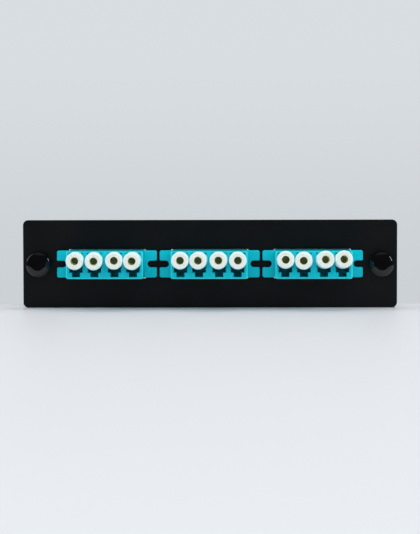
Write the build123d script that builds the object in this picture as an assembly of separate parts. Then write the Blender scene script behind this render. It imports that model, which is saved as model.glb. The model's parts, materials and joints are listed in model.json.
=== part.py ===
from build123d import *
import os

# Fibre adapter panel. Millimetres. X runs along the panel, the front faces -Y and Z is up.
# The origin is the middle of the panel's rear face. The two halves of every adapter meet in that plane.

# Panel plate
latch_pitch = 118.0
end_margin = 5.5
panel_height = 30.3
panel_thickness = 1.5
panel_corner_radius = 1.8
panel_edge_chamfer = 0.2
cutout_corner_radius = 0.4
cutout_clearance = 0.05

# Row of adapters between the two latches
adapter_names = ("left", "middle", "right")
latch_to_flange = 2.275
flange_gap = 0.95

# Ports of one adapter: two pairs side by side
ports_per_pair = 2
port_pitch = 6.25
middle_pitch = 6.8
port_square = 4.7
port_side_wall = 0.95
port_top_wall = 0.64
port_bottom_wall = 0.6
port_mouth_chamfer = 0.3

# Keyway under each port, which takes the latch arm of a connector
key_shoulder_width = 4.55
key_shoulder_drop = 1.83
key_slot_width = 2.75
key_slot_drop = 1.53
key_length = 8.6
catch_setback = 2.4
catch_length = 2.2
catch_side_room = 0.35

# Housing halves
front_reach = 12.0
housing_corner_radius = 0.6
face_edge_chamfer = 0.25
web_thickness = 1.0
seam_chamfer = 0.15

# Flange and its slotted ears
flange_thickness = 1.8
flange_corner_radius = 0.7
flange_edge_chamfer = 0.2
ear_slot_width = 2.3
ear_slot_depth = 3.2
ear_mouth_radius = 0.45

# Split alignment sleeves and the tubes that hold them
sleeve_length = 6.8
sleeve_bore = 1.249
sleeve_wall = 0.185
sleeve_slit = 0.15
sleeve_clearance = 0.05
sleeve_end_gap = 0.1
holder_wall = 0.34
holder_lip_length = 0.7
holder_lip_bore = 1.4

# Dust caps
cap_gap = 0.35
cap_head_length = 4.4
cap_edge_chamfer = 0.45
cap_bore = 2.6
cap_bore_depth = 7.2
cap_stem_length = 8.0
cap_stem_clearance = 0.1
cap_stem_corner_cut = 1.2
cap_tip_chamfer = 0.4

# Spring clip folded from strip
clip_thickness = 0.35
clip_depth = 7.0
clip_foot = 2.5
tang_height = 3.2
tang_window_gap = 0.25
tang_root_setback = 0.8
tang_tip_gap = 0.06
tang_flare = 1.0

# Push-pull latches
latch_head_diameter = 8.3
latch_head_height = 3.2
latch_rim_height = 2.1
latch_crown_diameter = 3.4
latch_rim_chamfer = 0.25
collar_inset = 0.4
collar_thickness = 0.8
barrel_diameter = 4.7
barrel_length = 7.0
barrel_tip_chamfer = 0.4
barrel_shoulder_step = 0.25
latch_hole_clearance = 0.05
prong_slot_width = 0.6
prong_slot_setback = 1.0
prong_slot_turn = 45.0
shank_diameter = 2.6
shank_clearance = 0.1
shank_overrun = 0.8
shank_tip_taper = 1.2
shank_tip_diameter = 1.4
stop_ring_step = 0.4
stop_ring_length = 0.6
stop_lip_length = 1.1
latch_travel = 4.5
stop_gap = 0.1

# Worked out from the sizes above
panel_length = latch_pitch + 2 * end_margin
adapter_count = len(adapter_names)
row_length = latch_pitch - latch_head_diameter - 2 * latch_to_flange
adapter_pitch = (row_length + flange_gap) / adapter_count
flange_width = adapter_pitch - flange_gap
half_length = panel_thickness + front_reach
body_width = middle_pitch + 2 * (port_pitch * (ports_per_pair - 1) + port_square / 2 + port_side_wall)
body_height = port_top_wall + port_square + key_shoulder_drop + key_slot_drop + port_bottom_wall
port_axis_z = body_height / 2 - port_top_wall - port_square / 2
key_shoulder_z = port_axis_z - port_square / 2
key_slot_z = key_shoulder_z - key_shoulder_drop
cutout_width = body_width + 2 * (clip_thickness + cutout_clearance)
cutout_height = body_height + 2 * (clip_thickness + cutout_clearance)
sleeve_diameter = sleeve_bore + 2 * sleeve_wall
holder_bore = sleeve_diameter + 2 * sleeve_clearance
holder_diameter = holder_bore + 2 * holder_wall
holder_seat = sleeve_length / 2 + sleeve_end_gap
holder_length = holder_seat + holder_lip_length
cap_head_diameter = port_pitch - cap_gap
cap_stem_width = port_square - 2 * cap_stem_clearance
collar_diameter = latch_head_diameter - 2 * collar_inset
shoulder_diameter = barrel_diameter + 2 * barrel_shoulder_step
latch_hole = shoulder_diameter + 2 * latch_hole_clearance
barrel_bore = shank_diameter + 2 * shank_clearance
stop_ring_diameter = shank_diameter + 2 * stop_ring_step
stop_bore = stop_ring_diameter + 2 * shank_clearance

collar_front = -panel_thickness - collar_thickness
stop_lip_back = collar_front + stop_lip_length
stop_ring_front = stop_lip_back + latch_travel + stop_gap
stop_bore_end = stop_ring_front + stop_ring_length + stop_gap


def port_offsets():
    """Distances of the port axes from the adapter's middle, from left to right."""
    one_side = [middle_pitch / 2 + port_pitch * n for n in range(ports_per_pair)]
    return [-x for x in reversed(one_side)] + one_side


def adapter_centres():
    return [adapter_pitch * (n - (adapter_count - 1) / 2) for n in range(adapter_count)]


def plane_at(y):
    """A sketch plane that faces the front: its own x is X and its own y is Z."""
    return Plane(origin=(0, y, 0), x_dir=(1, 0, 0), z_dir=(0, -1, 0))


def block(width, height, front, back, x=0.0, z=0.0, corner=0.0):
    """A bar along Y between front and back, with rounded corners where corner is given."""
    outline = RectangleRounded(width, height, corner) if corner else Rectangle(width, height)
    return extrude(plane_at(back) * Pos(x, z) * outline, amount=back - front)


def rod(diameter, front, back, x=0.0, z=0.0):
    return extrude(plane_at(back) * Pos(x, z) * Circle(diameter / 2), amount=back - front)


def turned(points):
    """A solid of revolution about Y, from points given as (radius, y)."""
    return revolve(make_face(Polyline(*points, close=True)), axis=Axis.Y)


def panel():
    plate = block(panel_length, panel_height, -panel_thickness, 0, corner=panel_corner_radius)
    rims = plate.faces().filter_by(Axis.Y).edges()
    plate = chamfer(rims, length=panel_edge_chamfer)
    for x in adapter_centres():
        plate -= block(cutout_width, cutout_height, -panel_thickness, 0, x=x, corner=cutout_corner_radius)
    for side in (-1, 1):
        plate -= rod(latch_hole, -panel_thickness, 0, x=side * latch_pitch / 2)
    return plate


def port_cut():
    """The space of one port, open at the front face of a housing half, with its axis at x = 0."""
    face = -half_length
    square = block(port_square, port_square, face, -web_thickness, z=port_axis_z)
    mouth_sketch = plane_at(face + port_mouth_chamfer) * Pos(0, port_axis_z) * Rectangle(port_square, port_square)
    mouth = extrude(mouth_sketch, amount=port_mouth_chamfer, taper=-45)
    shoulder_mid = key_shoulder_z - key_shoulder_drop / 2
    shoulder = block(key_shoulder_width, key_shoulder_drop, face, face + key_length, z=shoulder_mid)
    slot_mid = key_slot_z - key_slot_drop / 2
    slot = block(key_slot_width, key_slot_drop, face, face + key_length, z=slot_mid)
    catch_front = face + catch_setback
    catch_width = key_shoulder_width + 2 * catch_side_room
    catch = block(catch_width, key_shoulder_drop, catch_front, catch_front + catch_length, z=shoulder_mid)
    return square + mouth + shoulder + slot + catch


def holder(x):
    """The tube that holds one end of an alignment sleeve, with a lip that keeps the sleeve in."""
    return rod(holder_diameter, -holder_length, -web_thickness, x=x, z=port_axis_z)


def holder_bore_cut(x):
    wide = rod(holder_bore, -holder_seat, 0, x=x, z=port_axis_z)
    return wide + rod(holder_lip_bore, -holder_length, -holder_seat, x=x, z=port_axis_z)


def housing_half():
    """What both halves share, seen as the front one: the body, its ports and its sleeve holders."""
    body = block(body_width, body_height, -half_length, 0, corner=housing_corner_radius)
    face_rim = body.faces().sort_by(Axis.Y)[0].edges()
    body = chamfer(face_rim, length=face_edge_chamfer)
    seam_rim = body.faces().sort_by(Axis.Y)[-1].edges()
    body = chamfer(seam_rim, length=seam_chamfer)
    for x in port_offsets():
        body -= Pos(x, 0, 0) * port_cut()
    for x in port_offsets():
        body += holder(x)
    for x in port_offsets():
        body -= holder_bore_cut(x)
    return body


def flange():
    back = -panel_thickness
    front = back - flange_thickness
    outline = RectangleRounded(flange_width, body_height, flange_corner_radius)
    for side in (-1, 1):
        outline -= Pos(side * flange_width / 2) * SlotOverall(2 * ear_slot_depth, ear_slot_width)
    ends = outline.vertices().group_by(Axis.X)
    mouths = (ends[0] + ends[-1]).filter_by_position(Axis.Y, -ear_slot_width, ear_slot_width)
    outline = fillet(mouths, radius=ear_mouth_radius)
    plate = extrude(plane_at(back) * outline, amount=flange_thickness)
    front_rim = plate.faces().sort_by(Axis.Y)[0].edges()
    plate = chamfer(front_rim, length=flange_edge_chamfer)
    return plate - block(body_width, body_height, front, back, corner=housing_corner_radius)


def front_housing():
    return housing_half() + flange()


def rear_housing():
    return Rot(0, 0, 180) * housing_half()


def spring_clip():
    """A stainless strip folded round the body's top and sides, with feet under it and a tang on each side."""
    front = -panel_thickness
    back = front + clip_depth
    outer = (body_width + 2 * clip_thickness, body_height + 2 * clip_thickness)
    strip = block(*outer, front, back, corner=housing_corner_radius + clip_thickness)
    strip -= block(body_width, body_height, front, back, corner=housing_corner_radius)
    strip -= block(body_width - 2 * clip_foot, body_height, front, back, z=-body_height / 2)
    root = back - tang_root_setback
    for side in (-1, 1):
        inner = side * body_width / 2
        outside = side * (body_width / 2 + clip_thickness)
        window = block(2 * clip_thickness, tang_height + 2 * tang_window_gap, tang_tip_gap, root, x=outside)
        strip -= window
        tip_inner = inner + side * tang_flare
        tip_outer = outside + side * tang_flare
        corners = [(inner, root), (outside, root), (tip_outer, tang_tip_gap), (tip_inner, tang_tip_gap)]
        leaf = extrude(make_face(Polyline(*corners, close=True)), amount=tang_height / 2, both=True)
        strip += leaf
    return strip


def alignment_sleeve():
    front, back = -sleeve_length / 2, sleeve_length / 2
    tube = rod(sleeve_diameter, front, back) - rod(sleeve_bore, front, back)
    return tube - block(sleeve_slit, sleeve_diameter, front, back, z=-sleeve_diameter / 2)


def dust_cap():
    """A cap for a front port: a cored round head against the face, and a stem with four flats in the port."""
    face = -half_length
    front = face - cap_head_length
    tip = face + cap_stem_length
    head = cap_head_diameter / 2
    outline = [
        (0, front),
        (head - cap_edge_chamfer, front),
        (head, front + cap_edge_chamfer),
        (head, face),
        (0, face),
    ]
    flats = chamfer(Rectangle(cap_stem_width, cap_stem_width).vertices(), length=cap_stem_corner_cut)
    stem = extrude(plane_at(tip) * flats, amount=tip - face)
    stem = chamfer(stem.faces().sort_by(Axis.Y)[-1].edges(), length=cap_tip_chamfer)
    return turned(outline) + stem - rod(cap_bore, front, front + cap_bore_depth)


def grommet():
    """The split sleeve of a latch: a collar in front of the panel and four prongs behind it."""
    collar, shoulder, barrel = collar_diameter / 2, shoulder_diameter / 2, barrel_diameter / 2
    bore, stop = barrel_bore / 2, stop_bore / 2
    outline = [
        (bore, collar_front),
        (collar, collar_front),
        (collar, -panel_thickness),
        (shoulder, -panel_thickness),
        (shoulder, 0),
        (barrel, 0),
        (barrel, barrel_length - barrel_tip_chamfer),
        (barrel - barrel_tip_chamfer, barrel_length),
        (bore, barrel_length),
        (bore, stop_bore_end),
        (stop, stop_bore_end),
        (stop, stop_lip_back),
        (bore, stop_lip_back),
    ]
    body = turned(outline)
    slot = block(prong_slot_width, barrel_diameter, prong_slot_setback, barrel_length)
    slot = Rot(0, prong_slot_turn, 0) * slot
    return body - slot - Rot(0, 90, 0) * slot


def plunger():
    """The pull knob of a latch: a head with a flat crown, and a shank with a stop ring that holds the prongs apart."""
    head, shank, ring = latch_head_diameter / 2, shank_diameter / 2, stop_ring_diameter / 2
    seat, top = collar_front, collar_front - latch_head_height
    end = barrel_length + shank_overrun
    ring_back = stop_ring_front + stop_ring_length
    rim = seat - latch_rim_height
    crown = latch_crown_diameter / 2
    shoulder = TangentArc((crown, top), (head, rim), tangent=(1, 0))
    sides = Polyline(
        (head, rim),
        (head, seat - latch_rim_chamfer),
        (head - latch_rim_chamfer, seat),
        (shank, seat),
        (shank, stop_ring_front),
        (ring, stop_ring_front),
        (ring, ring_back),
        (shank, ring_back),
        (shank, end - shank_tip_taper),
        (shank_tip_diameter / 2, end),
        (0, end),
        (0, top),
        (crown, top),
    )
    return revolve(make_face([shoulder, sides]), axis=Axis.Y)


def adapter_pieces(name, x):
    """Every piece of one adapter, as (node name, solid)."""
    place = Pos(x, 0, 0)
    pieces = [
        (name + "_front_housing", place * front_housing()),
        (name + "_rear_housing", place * rear_housing()),
        (name + "_spring_clip", place * spring_clip()),
    ]
    for n, offset in enumerate(port_offsets(), start=1):
        axis = Pos(x + offset, 0, port_axis_z)
        pieces.append((f"{name}_sleeve_{n}", axis * alignment_sleeve()))
        pieces.append((f"{name}_front_cap_{n}", axis * dust_cap()))
        pieces.append((f"{name}_rear_cap_{n}", axis * Rot(0, 0, 180) * dust_cap()))
    return pieces


def latch_pieces(name, x):
    place = Pos(x, 0, 0)
    return [(name + "_latch_grommet", place * grommet()), (name + "_latch_plunger", place * plunger())]


def all_pieces():
    pieces = [("panel", panel())]
    for name, x in zip(adapter_names, adapter_centres()):
        pieces += adapter_pieces(name, x)
    for name, side in (("left", -1), ("right", 1)):
        pieces += latch_pieces(name, side * latch_pitch / 2)
    return pieces


os.makedirs("parts", exist_ok=True)
for node, solid in all_pieces():
    export_step(solid, f"parts/{node}.step")
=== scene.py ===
import json
import math

import bmesh
import bpy
from mathutils import Matrix, Vector

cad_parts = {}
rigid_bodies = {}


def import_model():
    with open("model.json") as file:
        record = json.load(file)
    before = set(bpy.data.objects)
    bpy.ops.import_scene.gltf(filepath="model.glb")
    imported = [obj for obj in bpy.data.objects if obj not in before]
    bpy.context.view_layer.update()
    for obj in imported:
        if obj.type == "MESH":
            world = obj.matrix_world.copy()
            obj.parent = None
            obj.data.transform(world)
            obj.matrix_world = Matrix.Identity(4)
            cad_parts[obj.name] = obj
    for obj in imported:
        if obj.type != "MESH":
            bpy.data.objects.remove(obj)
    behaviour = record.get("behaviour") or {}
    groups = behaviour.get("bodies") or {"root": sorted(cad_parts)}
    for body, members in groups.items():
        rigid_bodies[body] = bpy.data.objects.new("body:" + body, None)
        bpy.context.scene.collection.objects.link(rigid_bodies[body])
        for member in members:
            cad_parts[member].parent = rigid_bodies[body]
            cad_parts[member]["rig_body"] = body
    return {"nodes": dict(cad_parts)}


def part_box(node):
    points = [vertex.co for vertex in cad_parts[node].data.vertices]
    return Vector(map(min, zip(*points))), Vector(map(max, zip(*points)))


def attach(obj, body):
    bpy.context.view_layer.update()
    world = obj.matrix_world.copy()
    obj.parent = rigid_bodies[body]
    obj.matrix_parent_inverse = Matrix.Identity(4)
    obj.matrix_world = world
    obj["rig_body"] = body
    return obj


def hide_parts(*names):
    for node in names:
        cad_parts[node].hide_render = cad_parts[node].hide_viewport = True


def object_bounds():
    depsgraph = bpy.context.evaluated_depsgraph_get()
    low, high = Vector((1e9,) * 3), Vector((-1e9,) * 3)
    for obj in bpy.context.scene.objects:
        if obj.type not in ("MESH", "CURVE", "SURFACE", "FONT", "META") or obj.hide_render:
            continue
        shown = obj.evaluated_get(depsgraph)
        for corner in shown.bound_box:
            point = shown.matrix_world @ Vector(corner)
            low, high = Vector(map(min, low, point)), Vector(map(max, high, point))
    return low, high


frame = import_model()
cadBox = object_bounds()
nodes = frame["nodes"]
mm = 0.001
tiny = 0.0005 * mm  # points nearer than this are one
adapterNames = ("left", "middle", "right")
print("frame loaded:", len(nodes), "solids")


# Node trees. A Wire is one output socket, and arithmetic on it adds Math nodes.

class Wire:
    def __init__(self, tree, socket):
        self.tree = tree
        self.socket = socket

    def calc(self, operation, *values):
        return self.tree.node("ShaderNodeMath", {"operation": operation}, dict(enumerate(values)))

    def __add__(self, other):
        return self.calc("ADD", self, other)

    def __radd__(self, other):
        return self.calc("ADD", other, self)

    def __sub__(self, other):
        return self.calc("SUBTRACT", self, other)

    def __rsub__(self, other):
        return self.calc("SUBTRACT", other, self)

    def __mul__(self, other):
        return self.calc("MULTIPLY", self, other)

    def __rmul__(self, other):
        return self.calc("MULTIPLY", other, self)

    def __truediv__(self, other):
        return self.calc("DIVIDE", self, other)

    def __rtruediv__(self, other):
        return self.calc("DIVIDE", other, self)

    def least(self, other):
        return self.calc("MINIMUM", self, other)

    def most(self, other):
        return self.calc("MAXIMUM", self, other)

    def size(self):
        return self.calc("ABSOLUTE", self)

    def ramp(self, low, high):  # 0 below low, 1 above high, eased between them
        settings = {"interpolation_type": "SMOOTHSTEP"}
        return self.tree.node("ShaderNodeMapRange", settings, {0: self, 1: low, 2: high})


class Tree:
    def __init__(self, tree):
        self.tree = tree

    def node(self, kind, settings=None, sockets=None, out=0):  # any node, as the Wire of one of its outputs
        made = self.tree.nodes.new(kind)
        for key, value in (settings or {}).items():
            setattr(made, key, value)
        for key, value in (sockets or {}).items():
            self.join(made.inputs[key], value)
        return Wire(self, made.outputs[out]) if len(made.outputs) else made

    def join(self, socket, value):
        if isinstance(value, Wire):
            self.tree.links.new(value.socket, socket)
        elif isinstance(value, tuple) and len(value) == 3 and socket.type == "RGBA":
            socket.default_value = (*value, 1)
        else:
            socket.default_value = value

    def parts(self, vector):
        split = self.node("ShaderNodeSeparateXYZ", sockets={0: vector}).socket.node
        return [Wire(self, socket) for socket in split.outputs]

    def blend(self, amount, first, second):  # first where amount is 0, second where it is 1
        settings = {"data_type": "RGBA", "clamp_factor": True}
        return self.node("ShaderNodeMix", settings, {0: amount, 6: first, 7: second}, out=2)


class Finish(Tree):  # a material with one Principled shader
    def __init__(self, name, **sockets):
        self.material = bpy.data.materials.new(name)
        self.material.use_nodes = True
        super().__init__(self.material.node_tree)
        self.tree.nodes.clear()
        self.sockets = sockets
        self.place = self.node("ShaderNodeTexCoord", out="Object")

    def speckle(self, grain, detail=2.0, stretch=(1, 1, 1)):  # noise with features about grain wide
        scaled = self.node("ShaderNodeMapping", sockets={"Vector": self.place, "Scale": stretch})
        return self.node("ShaderNodeTexNoise", sockets={"Vector": scaled, "Scale": 1 / grain, "Detail": detail})

    def bump(self, height, depth, strength=1.0):
        return self.node("ShaderNodeBump", sockets={"Strength": strength, "Distance": depth, "Height": height})

    def rough(self, noise, base, extra):  # base where the noise is 0, base and extra where it is 1
        return base + extra * noise

    def done(self, **sockets):
        named = {"colour": "Base Color", "roughness": "Roughness", "normal": "Normal", "metallic": "Metallic",
                 "subsurface": "Subsurface Weight", "radius": "Subsurface Radius", "scale": "Subsurface Scale",
                 "gloss": "Specular IOR Level"}
        wanted = {named[key]: value for key, value in {**self.sockets, **sockets}.items()}
        shader = self.node("ShaderNodeBsdfPrincipled", sockets=wanted)
        self.node("ShaderNodeOutputMaterial", sockets={"Surface": shader})
        return self.material


# Camera, at the photograph's place

camera = {
    "at": (10.7 * mm, -547.7 * mm, 21.2 * mm),
    "yaw": -1.113, "pitch": -2.339, "roll": -0.122,  # degrees
    "focalPixels": 1585.4, "imageWidth": 420, "filmWidth": 36.0, "nearest": 0.01,
}


def placeCamera():
    data = bpy.data.cameras.new("camera")
    data.sensor_fit = "HORIZONTAL"
    data.sensor_width = camera["filmWidth"]
    data.lens = camera["focalPixels"] * camera["filmWidth"] / camera["imageWidth"]
    data.clip_start = camera["nearest"]
    yaw, pitch, roll = (math.radians(camera[key]) for key in ("yaw", "pitch", "roll"))
    ahead = Vector((math.sin(yaw) * math.cos(pitch), math.cos(yaw) * math.cos(pitch), math.sin(pitch)))
    level = ahead.cross(Vector((0, 0, 1))).normalized()
    upward = level.cross(ahead)
    right = level * math.cos(roll) + upward * math.sin(roll)
    up = upward * math.cos(roll) - level * math.sin(roll)
    turn = Matrix((right, up, -ahead)).transposed()
    obj = bpy.data.objects.new("camera", data)
    obj.matrix_world = Matrix.Translation(camera["at"]) @ turn.to_4x4()
    bpy.context.scene.collection.objects.link(obj)
    bpy.context.scene.camera = obj


placeCamera()
print("camera placed")


# Studio: a pale slab to stand on, a pale backdrop far behind and soft boxes

studio = {  # the pairs are the heights, or the depth, between which one colour turns into the next
    "backdropLow": (0.604, 0.638, 0.665), "backdropHigh": (0.690, 0.725, 0.755), "horizon": (-0.06, 0.10),
    "room": (0.020, 0.021, 0.023), "behind": (0.0, 0.35),  # what gloss sees on the camera's side
    "ceiling": (0.26, 0.27, 0.28), "overhead": (0.80, 0.97),  # and above
    "ambient": (0.36, 0.365, 0.37),
}
floorSlab = {
    "colour": (0.690, 0.710, 0.742), "darker": 0.985, "cloud": 90 * mm, "grain": 0.8 * mm,
    "rough": (0.42, 0.1), "relief": 0.01 * mm,
    "size": (1.6, 0.409), "back": 21 * mm, "thickness": 12 * mm, "edge": 1.5 * mm,
}
softBoxes = {  # place, size and power; the fills and the front one give no highlight
    "overheadBox": {"at": (0.0, 0.22, 0.70), "size": (1.0, 0.40), "power": 2.0, "gloss": True},
    "leftFill": {"at": (-0.60, -0.17, 0.37), "size": (0.22, 0.30), "power": 0.9, "gloss": False},
    "rightFill": {"at": (0.60, -0.17, 0.37), "size": (0.22, 0.30), "power": 1.1, "gloss": False},
    "leftStrip": {"at": (-0.57, 0.02, 0.41), "size": (0.15, 0.50), "power": 0.38, "gloss": True},
    "rightStrip": {"at": (0.60, -0.17, 0.35), "size": (0.07, 0.28), "power": 0.50, "gloss": True},
    "frontBox": {"at": (0.05, -0.80, 0.45), "size": (0.9, 0.5), "power": 4.1, "gloss": False},
}


def makeWorld():
    world = bpy.data.worlds.new("studio")
    bpy.context.scene.world = world
    world.use_nodes = True
    tree = Tree(world.node_tree)
    tree.tree.nodes.clear()
    y, z = tree.parts(tree.node("ShaderNodeTexCoord", out="Generated"))[1:]
    rays = tree.node("ShaderNodeLightPath").socket.node.outputs
    seen, gloss, through = (Wire(tree, rays[name]) for name in
                            ("Is Camera Ray", "Is Glossy Ray", "Is Transmission Ray"))
    backdrop = tree.blend(z.ramp(*studio["horizon"]), studio["backdropLow"], studio["backdropHigh"])
    behind = y.ramp(*studio["behind"])
    unlit = tree.blend(z.ramp(*studio["overhead"]), studio["room"], studio["ceiling"])
    colour = tree.blend(gloss, studio["ambient"], unlit)
    colour = tree.blend(seen.most(through).most(gloss * behind), colour, backdrop)
    light = tree.node("ShaderNodeBackground", sockets={"Color": colour, "Strength": 1.0})
    tree.node("ShaderNodeOutputWorld", sockets={"Surface": light})


def floorFinish():
    finish = Finish("paleSlab", gloss=0.3)
    cloud = finish.speckle(floorSlab["cloud"], 1.0)
    grain = finish.speckle(floorSlab["grain"])
    tint = finish.blend(cloud, floorSlab["colour"], tuple(floorSlab["darker"] * c for c in floorSlab["colour"]))
    rough = finish.rough(grain, *floorSlab["rough"])
    return finish.done(colour=tint, roughness=rough, normal=finish.bump(grain, floorSlab["relief"], 0.2))


def makeFloor():
    low = cadBox[0].z
    wide, deep = floorSlab["size"]
    back, thick = floorSlab["back"], floorSlab["thickness"]
    bm = bmesh.new()
    bmesh.ops.create_cube(bm, size=1)
    bmesh.ops.scale(bm, verts=bm.verts, vec=(wide, deep, thick))
    bmesh.ops.translate(bm, verts=bm.verts, vec=(0, back - deep / 2, low - thick / 2))
    bmesh.ops.bevel(bm, geom=bm.edges[:], offset=floorSlab["edge"], segments=4, affect="EDGES", profile=0.5)
    mesh = bpy.data.meshes.new("floor")
    bm.to_mesh(mesh)
    bm.free()
    mesh.materials.append(floorFinish())
    floor = bpy.data.objects.new("floor", mesh)
    bpy.context.scene.collection.objects.link(floor)


def makeLights():
    for name, box in softBoxes.items():
        data = bpy.data.lights.new(name, "AREA")
        data.shape = "RECTANGLE"
        data.size, data.size_y = box["size"]
        data.energy = box["power"]
        lamp = bpy.data.objects.new(name, data)
        lamp.location = box["at"]
        lamp.rotation_euler = (-Vector(box["at"])).to_track_quat("-Z", "Y").to_euler()
        lamp.visible_glossy = box["gloss"]
        lamp.visible_camera = False
        bpy.context.scene.collection.objects.link(lamp)


makeWorld()
makeFloor()
makeLights()
bpy.context.scene.view_settings.view_transform = "Standard"
print("studio ready")


# Finishes. Colours are linear, and rough is where the roughness starts and how much a noise adds.

def powderCoat():
    look = {"colour": (0.0028, 0.0036, 0.0047), "worn": (0.0042, 0.0049, 0.0060), "peel": 0.34 * mm, "dust": 9 * mm,
            "rough": (0.34, 0.10), "relief": 0.018 * mm}
    finish = Finish("powderCoat", gloss=0.18)
    peel = finish.speckle(look["peel"], 3.0)  # orange peel
    dust = finish.speckle(look["dust"], 4.0)
    colour = finish.blend(dust.ramp(0.35, 0.75), look["colour"], look["worn"])
    rough = finish.rough(dust, *look["rough"])
    return finish.done(colour=colour, roughness=rough, normal=finish.bump(peel, look["relief"], 0.5))


def aquaPlastic():
    # the rim colour is a painted highlight for the slanting faces round each housing's open end
    look = {"colour": (0.001, 0.535, 0.645), "deep": (0.001, 0.500, 0.610), "rim": (0.05, 0.80, 0.88),
            "flow": 5 * mm, "grain": 0.12 * mm, "rough": (0.30, 0.12), "relief": 0.004 * mm}
    finish = Finish("aquaPlastic", gloss=0.16, subsurface=0.12, radius=(0.2, 1.0, 1.0), scale=0.6 * mm)
    flow = finish.speckle(look["flow"], 2.0, (1, 0.35, 1))  # faint flow marks of the moulding
    grain = finish.speckle(look["grain"])
    rim = finish.node("ShaderNodeAttribute", {"attribute_name": "rim"}, out="Fac")
    colour = finish.blend(flow.ramp(0.35, 0.7), look["colour"], look["deep"])
    colour = finish.blend(rim, colour, look["rim"])  # painted highlight: the slanting rim faces are coloured a lighter aqua, as if they caught more light
    rough = finish.rough(flow, *look["rough"])
    return finish.done(colour=colour, roughness=rough, normal=finish.bump(grain, look["relief"], 0.5))


def capPlastic():
    # edge is a painted light tint for the cap's rim, core a painted shade for its bore
    look = {"face": (0.79, 0.80, 0.74), "edge": (0.64, 0.93, 0.95), "core": (0.64, 0.74, 0.42),
            "haze": 1.6 * mm, "rough": (0.36, 0.12), "relief": 0.01 * mm}
    finish = Finish("capPlastic", gloss=0.3, subsurface=0.35, radius=(1.0, 0.95, 0.85), scale=0.8 * mm)
    haze = finish.speckle(look["haze"], 2.0)
    edge = finish.node("ShaderNodeAttribute", {"attribute_name": "edge"}, out="Fac")
    core = finish.node("ShaderNodeAttribute", {"attribute_name": "core"}, out="Fac")
    skin = finish.blend(edge, look["face"], look["edge"])  # painted light: the rim is tinted cyan-white, standing in for light from the aqua housing and a highlight on the rounded edge
    # painted shade: the bore turns a darker olive deeper in
    colour = finish.blend(core, skin, look["core"])
    rough = finish.rough(haze, *look["rough"])
    return finish.done(colour=colour, roughness=rough, normal=finish.bump(haze, look["relief"], 0.35))


def clipSteel():
    look = {"colour": (0.60, 0.60, 0.585), "darker": 0.88, "line": 0.05 * mm, "smear": 4 * mm,
            "rough": (0.38, 0.16), "smearRough": 0.06, "relief": 0.004 * mm}
    finish = Finish("clipSteel", metallic=1.0)
    lines = finish.speckle(look["line"], 3.0, (0.02, 1, 1))  # rolled along the strip
    smear = finish.speckle(look["smear"], 2.0)
    colour = finish.blend(smear, look["colour"], tuple(look["darker"] * c for c in look["colour"]))
    rough = finish.rough(lines, *look["rough"]) + look["smearRough"] * smear
    return finish.done(colour=colour, roughness=rough, normal=finish.bump(lines, look["relief"], 0.4))


def sleeveCeramic():
    look = {"colour": (0.86, 0.84, 0.78), "vein": (0.82, 0.80, 0.73), "cloud": 0.9 * mm,
            "rough": (0.14, 0.08), "relief": 0.002 * mm}
    finish = Finish("sleeveCeramic", subsurface=0.15, radius=(1.0, 0.9, 0.7), scale=0.3 * mm)
    cloud = finish.speckle(look["cloud"], 3.0)
    colour = finish.blend(cloud.ramp(0.4, 0.7), look["colour"], look["vein"])
    rough = finish.rough(cloud, *look["rough"])
    return finish.done(colour=colour, roughness=rough, normal=finish.bump(cloud, look["relief"], 0.3))


def latchGloss():
    look = {"colour": (0.0022, 0.0022, 0.0026), "faded": (0.0034, 0.0034, 0.0038),
            "ripple": 1.8 * mm, "scuff": 0.2 * mm, "rough": (0.05, 0.05), "relief": 0.012 * mm}
    finish = Finish("latchGloss", gloss=0.5)
    ripple = finish.speckle(look["ripple"], 1.0)
    scuff = finish.speckle(look["scuff"], 4.0)
    colour = finish.blend(ripple, look["colour"], look["faded"])
    rough = finish.rough(scuff, *look["rough"])
    return finish.done(colour=colour, roughness=rough, normal=finish.bump(ripple, look["relief"], 0.25))


def grommetNylon():
    look = {"colour": (0.0095, 0.0098, 0.0105), "pale": (0.014, 0.0142, 0.015), "grain": 0.16 * mm,
            "cloud": 2.5 * mm, "rough": (0.46, 0.14), "relief": 0.008 * mm}
    finish = Finish("grommetNylon", gloss=0.5)
    grain = finish.speckle(look["grain"], 3.0)
    cloud = finish.speckle(look["cloud"])
    colour = finish.blend(cloud, look["colour"], look["pale"])
    rough = finish.rough(grain, *look["rough"])
    return finish.done(colour=colour, roughness=rough, normal=finish.bump(grain, look["relief"], 0.5))


finishes = {
    "powder_coat": powderCoat(), "aqua_plastic": aquaPlastic(), "cap_plastic": capPlastic(),
    "clip_steel": clipSteel(), "sleeve_ceramic": sleeveCeramic(), "latch_gloss": latchGloss(),
    "grommet_nylon": grommetNylon(),
}
print("finishes ready:", len(finishes))


# Meshes. The angles are in degrees.

meshing = {"flat": 0.6, "corner": 28, "crease": 32}  # CAD facets that are merged, edges that are rounded or kept sharp


def plainMesh(obj, name):  # what obj looks like with its modifiers, as a mesh of its own
    ready = obj.evaluated_get(bpy.context.evaluated_depsgraph_get())
    mesh = bpy.data.meshes.new_from_object(ready)
    mesh.name = name
    bpy.data.objects.remove(obj)
    return mesh


def standIn(mesh, name, node, slot):  # mesh takes the place of that CAD node, on its body
    mesh.materials.clear()
    mesh.materials.append(finishes[slot])
    piece = bpy.data.objects.new(name, mesh)
    bpy.context.scene.collection.objects.link(piece)
    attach(piece, nodes[node]["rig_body"])
    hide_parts(node)


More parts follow.
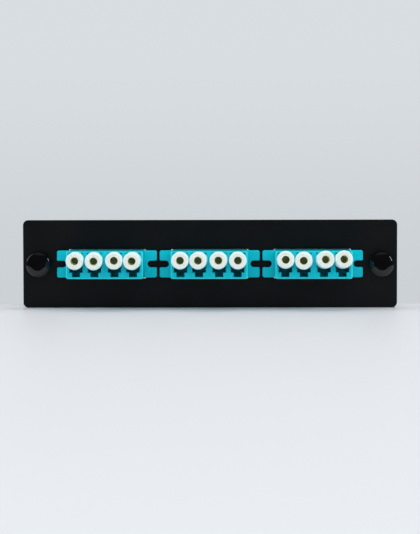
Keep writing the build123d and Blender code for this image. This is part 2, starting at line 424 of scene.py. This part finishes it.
def easedCopy(node, name, width, segments=2):  # a CAD node with its edges rounded
    mesh = nodes[node].data.copy()
    bm = bmesh.new()
    bm.from_mesh(mesh)
    bmesh.ops.remove_doubles(bm, verts=bm.verts, dist=tiny)
    bmesh.ops.dissolve_limit(bm, angle_limit=math.radians(meshing["flat"]), verts=bm.verts, edges=bm.edges)
    for face in bm.faces:
        face.smooth = True
    bm.to_mesh(mesh)
    bm.free()
    obj = bpy.data.objects.new(name + "Work", mesh)
    bpy.context.scene.collection.objects.link(obj)
    ease = obj.modifiers.new("ease", "BEVEL")
    ease.width = width
    ease.segments = segments
    ease.limit_method = "ANGLE"
    ease.angle_limit = math.radians(meshing["corner"])
    ease.miter_outer = "MITER_ARC"
    even = obj.modifiers.new("even", "WEIGHTED_NORMAL")
    even.keep_sharp = True
    return plainMesh(obj, name)


def easeNode(node, slot, width, segments=2):
    standIn(easedCopy(node, node + "_eased", width, segments), node + "_eased", node, slot)


# Turned pieces: a Geometry Nodes tree sweeps a profile about its own axis

turnedInputs = {  # name: socket type and value
    "Profile": ("NodeSocketGeometry", None),
    "Segments": ("NodeSocketInt", 72),
    "Axis X": ("NodeSocketFloat", 0.0),
    "Axis Z": ("NodeSocketFloat", 0.0),
    "Seat": ("NodeSocketFloat", 0.0),
    "Facing": ("NodeSocketFloat", -1.0),
    "Corner Ratio": ("NodeSocketFloat", 1.5),
    "Lean X": ("NodeSocketFloat", 0.0),
    "Lean Z": ("NodeSocketFloat", 0.0),
    "Tilt": ("NodeSocketFloat", 0.0),
    "Finish": ("NodeSocketMaterial", None),
}


def makeTurnedTree():
    group = bpy.data.node_groups.new("turnedPiece", "GeometryNodeTree")
    for name, (kind, value) in turnedInputs.items():
        socket = group.interface.new_socket(name=name, in_out="INPUT", socket_type=kind)
        if value is not None:
            socket.default_value = value
    group.interface.new_socket(name="Piece", in_out="OUTPUT", socket_type="NodeSocketGeometry")
    tree = Tree(group)
    given = group.nodes.new("NodeGroupInput").outputs
    profile, segments, axisX, axisZ, seat, facing, corner, leanX, leanZ, tilt, finish = (
        Wire(tree, given[name]) for name in turnedInputs)
    rows = tree.node("GeometryNodeAttributeDomainSize", {"component": "MESH"}, {0: profile}, out="Point Count")
    grid = tree.node("GeometryNodeMeshGrid", sockets={"Vertices X": segments + 1, "Vertices Y": rows})
    index = tree.node("GeometryNodeInputIndex")
    row = index.calc("MODULO", index, rows)
    angle = index.calc("FLOOR", (index + 0.5) / rows) * (2 * math.pi) / segments
    cosine, sine = index.calc("COSINE", angle), index.calc("SINE", angle)

    def along(value, kind):  # a value at the profile's own point
        return tree.node("GeometryNodeSampleIndex", {"data_type": kind, "domain": "POINT"},
                         {"Geometry": profile, "Value": value, "Index": row})

    radius, reach, square = tree.parts(along(tree.node("GeometryNodeInputPosition"), "FLOAT_VECTOR"))
    flat = 1 / cosine.size().most(sine.size())
    cut = corner / (cosine.size() + sine.size())
    spread = radius * (1 - square + square * flat.least(cut))  # square is 1 where the section has four flats
    out = reach.most(0.0)
    place = tree.node("ShaderNodeCombineXYZ", sockets={
        0: axisX + spread * cosine + leanX * out,
        1: facing * (seat + reach) + tilt * spread * sine * out,
        2: axisZ + spread * sine + leanZ * out})
    shape = tree.node("GeometryNodeSetPosition", sockets={"Geometry": grid, "Position": place})
    # carries the caps' painted light on the rim (edge) and painted shade in the bore (core)
    for name in ("edge", "core"):
        mark = tree.node("GeometryNodeInputNamedAttribute", {"data_type": "FLOAT"}, {"Name": name})
        shape = tree.node("GeometryNodeStoreNamedAttribute", {"data_type": "FLOAT", "domain": "POINT"},
                          {"Geometry": shape, "Name": name, "Value": along(mark, "FLOAT")})
    shape = tree.node("GeometryNodeMergeByDistance", sockets={"Geometry": shape, "Distance": tiny})
    shape = tree.node("GeometryNodeRealizeInstances", sockets={"Geometry": shape})
    shape = tree.node("GeometryNodeSetMaterial", sockets={"Geometry": shape, "Material": finish})
    tree.node("NodeGroupOutput", sockets={0: shape})
    return group


turnedTree = makeTurnedTree()


def arc(centre, size, start, end, steps):  # points of a round corner, in degrees from the radius direction
    turns = [math.radians(start + (end - start) * n / steps) for n in range(steps + 1)]
    return [(centre[0] + size * math.cos(t), centre[1] + size * math.sin(t)) for t in turns]


def turnedMesh(name, rows, **inputs):  # rows are (radius, reach, square, edge, core); edge is painted light, core is painted shade
    mesh = bpy.data.meshes.new(name + "Profile")
    mesh.from_pydata([row[:3] for row in rows], [(n, n + 1) for n in range(len(rows) - 1)], [])
    for column, key in ((3, "edge"), (4, "core")):
        mark = mesh.attributes.new(key, "FLOAT", "POINT")
        mark.data.foreach_set("value", [row[column] for row in rows])
    obj = bpy.data.objects.new(name + "Work", mesh)
    bpy.context.scene.collection.objects.link(obj)
    turn = obj.modifiers.new("turn", "NODES")
    turn.node_group = turnedTree
    for item in turnedTree.interface.items_tree:
        if item.in_out == "INPUT" and item.name in inputs:
            turn[item.identifier] = inputs[item.name]
    made = plainMesh(obj, name)
    bm = bmesh.new()
    bm.from_mesh(made)
    bmesh.ops.dissolve_degenerate(bm, dist=tiny, edges=bm.edges)
    bmesh.ops.recalc_face_normals(bm, faces=bm.faces)
    for face in bm.faces:
        face.smooth = True
    bm.to_mesh(made)
    bm.free()
    made.set_sharp_from_angle(angle=math.radians(meshing["crease"]))
    return made


# Dust caps

cap = {
    "seat": 13.5 * mm, "reach": 4.4 * mm, "radius": 2.95 * mm, "edgeRound": 0.52 * mm, "backRound": 0.12 * mm,
    "coreRadius": 1.3 * mm, "coreDepth": 7.2 * mm, "mouthRound": 0.14 * mm,
    "stem": 8.0 * mm, "stemHalf": 2.25 * mm, "cornerCut": 1.2 * mm, "tipChamfer": 0.4 * mm,
    "segments": 72, "mouthSteps": 4, "edgeSteps": 7, "backSteps": 3,
    "boreShade": ((0.25, 1), (0.5, 1), (0.7, 1), (0.82, 0.95), (0.9, 0.85), (0.95, 0.6)),  # painted shade in the bore, which fades out up the core towards the mouth
}
ports = {"offsets": (-9.65 * mm, -3.4 * mm, 3.4 * mm, 9.65 * mm), "height": 1.66 * mm, "pitch": 106.1 / 3 * mm}
capLean = {  # mm by which each front cap's face leans in its port, across and up, from the left cap to the right
    "left": ((-0.08, -0.16), (0.08, -0.28), (0.13, -0.02), (-0.17, -0.20)),
    "middle": ((-0.03, 0.0), (-0.29, -0.03), (-0.24, 0.04), (0.10, 0.0)),
    "right": ((0.04, 0.28), (-0.24, -0.12), (0.38, 0.34), (0.26, 0.42)),
}


def capProfile():
    front, back = cap["reach"], cap["reach"] - cap["coreDepth"]
    core, mouth = cap["coreRadius"], cap["mouthRound"]
    head, edge, rear = cap["radius"], cap["edgeRound"], cap["backRound"]
    half, tip, stem = cap["stemHalf"], cap["tipChamfer"], cap["stem"]
    mouthSteps, edgeSteps = cap["mouthSteps"], cap["edgeSteps"]
    # the fourth value is painted light on the rim and stem, which fades towards the tip; the fifth is painted shade in
    # the bore
    rows = [(0, back, 0, 0, 1), (core * 0.5, back, 0, 0, 1), (core, back, 0, 0, 1)]
    for share, shade in cap["boreShade"]:
        rows.append((core, back + (front - mouth - back) * share, 0, 0, shade))
    for n, (r, y) in enumerate(arc((core + mouth, front - mouth), mouth, 180, 90, mouthSteps)):
        rows.append((r, y, 0, 0, 0.35 * (1 - n / mouthSteps)))
    rows.append(((core + head) / 2, front, 0, 0.12, 0))
    for n, (r, y) in enumerate(arc((head - edge, front - edge), edge, 90, 0, edgeSteps)):
        rows.append((r, y, 0, 0.5 + 0.5 * n / edgeSteps, 0))
    rows += [(head, front * 0.5, 0, 1, 0), (head, rear, 0, 1, 0)]
    rows += [(r, y, 0, 1, 0) for r, y in arc((head - rear, rear), rear, 0, -90, cap["backSteps"])[1:]]
    rows += [(half, 0, 1, 1, 0), (half, -stem * 0.5, 1, 0.6, 0), (half, tip - stem, 1, 0.4, 0)]
    rows += [(half - tip, -stem, 1, 0.4, 0), (0, -stem, 0, 0.4, 0)]
    return rows


def makeCaps():
    rows = capProfile()
    ratio = (2 * cap["stemHalf"] - cap["cornerCut"]) / cap["stemHalf"]
    for place, adapter in enumerate(adapterNames):
        for n, offset in enumerate(ports["offsets"]):
            across = ports["pitch"] * (place - 1) + offset
            for side, facing in (("front", -1.0), ("rear", 1.0)):
                lean = capLean[adapter][n] if side == "front" else (0.0, 0.0)
                name = f"{adapter}_{side}_cap_{n + 1}"
                mesh = turnedMesh(name + "_turned", rows, **{
                    "Segments": cap["segments"], "Axis X": across, "Axis Z": ports["height"], "Seat": cap["seat"],
                    "Facing": facing, "Corner Ratio": ratio,
                    "Lean X": lean[0] * mm / cap["reach"], "Lean Z": lean[1] * mm / cap["reach"],
                    "Finish": finishes["cap_plastic"]})
                standIn(mesh, name + "_turned", name, "cap_plastic")


makeCaps()
print("dust caps turned")


# Latches: the pull knob is turned, and its split grommet keeps the CAD shape with eased edges

latch = {
    "seat": 2.3 * mm, "head": 4.15 * mm, "height": 3.2 * mm, "side": 2.1 * mm, "crown": 1.7 * mm,
    "rimRound": 0.22 * mm, "segments": 96, "shoulderSteps": 22, "rimSteps": 4, "grommetEase": 0.05 * mm,
    "shank": 1.3 * mm, "ring": 1.7 * mm, "tip": 0.7 * mm, "tipLength": 1.2 * mm,
    "ringSeat": 5.7 * mm, "ringLength": 0.6 * mm,  # how far behind the head the stop ring starts
    "spacing": 118 * mm, "tilt": 4.2, "sag": 0.3 * mm,  # the head looks up by this many degrees and hangs this low
}


def latchProfile(box):
    head, crown, soft, height = latch["head"], latch["crown"], latch["rimRound"], latch["height"]
    shank, ring, ringFront = latch["shank"], latch["ring"], -latch["ringSeat"]
    ringBack = ringFront - latch["ringLength"]
    end = -latch["seat"] - box[1].y  # the shank's end, from the CAD solid
    across, drop = head - crown, height - latch["side"]
    bend = (across ** 2 + drop ** 2) / (2 * drop)  # the shoulder's radius, which runs flush out of the crown
    turn = math.degrees(math.asin(across / bend))
    outline = [(0, height), (0.6 * crown, height)]
    outline += arc((crown, height - bend), bend, 90, 90 - turn, latch["shoulderSteps"])
    outline += arc((head - soft, soft), soft, 0, -90, latch["rimSteps"])
    outline += [(shank, 0), (shank, ringFront), (ring, ringFront), (ring, ringBack), (shank, ringBack)]
    outline += [(shank, end + latch["tipLength"]), (latch["tip"], end), (0, end)]
    return [(r, y, 0, 0, 0) for r, y in outline]


def makeLatches():
    for name, side in (("left", -1), ("right", 1)):
        node = name + "_latch_plunger"
        mesh = turnedMesh(node + "_turned", latchProfile(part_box(node)), **{
            "Segments": latch["segments"], "Axis X": side * latch["spacing"] / 2, "Seat": latch["seat"], "Facing": -1.0,
            "Tilt": math.tan(math.radians(latch["tilt"])) / latch["height"], "Lean Z": -latch["sag"] / latch["height"],
            "Finish": finishes["latch_gloss"]})
        standIn(mesh, node + "_turned", node, "latch_gloss")
        easeNode(name + "_latch_grommet", "grommet_nylon", latch["grommetEase"])


makeLatches()
print("latches made")


# Plate, housings and clips keep the CAD shape, with eased edges

plate = {"ease": 0.07 * mm, "segments": 3}
housing = {"ease": 0.07 * mm, "width": 25.9 * mm, "height": 9.3 * mm, "rimDepth": 0.45 * mm, "slant": (0.15, 0.98)}
clip = {"ease": 0.04 * mm}


def markRimHighlight(mesh, middle):  # the slanting faces round the outside of a housing's open end, which get a painted highlight
    half, tall = housing["width"] / 2 - housing["rimDepth"], housing["height"] / 2 - housing["rimDepth"]
    end = cap["seat"] - housing["rimDepth"]
    least, most = housing["slant"]
    values = []
    for face in mesh.polygons:
        outside = abs(face.center.x - middle) > half or face.center.z < -tall
        slanting = least < abs(face.normal.y) < most
        values.append(1.0 if outside and slanting and abs(face.center.y) > end else 0.0)
    mesh.attributes.new("rim", "FLOAT", "FACE").data.foreach_set("value", values)
    return mesh


easeNode("panel", "powder_coat", plate["ease"], plate["segments"])
for place, adapter in enumerate(adapterNames):
    for half in ("front", "rear"):
        node = f"{adapter}_{half}_housing"
        mesh = markRimHighlight(easedCopy(node, node + "_eased", housing["ease"]), ports["pitch"] * (place - 1))
        standIn(mesh, node + "_eased", node, "aqua_plastic")
    easeNode(adapter + "_spring_clip", "clip_steel", clip["ease"])
    for n in range(1, 5):
        for slot in nodes[f"{adapter}_sleeve_{n}"].material_slots:
            slot.material = finishes["sleeve_ceramic"]
print("plate, housings and clips made")
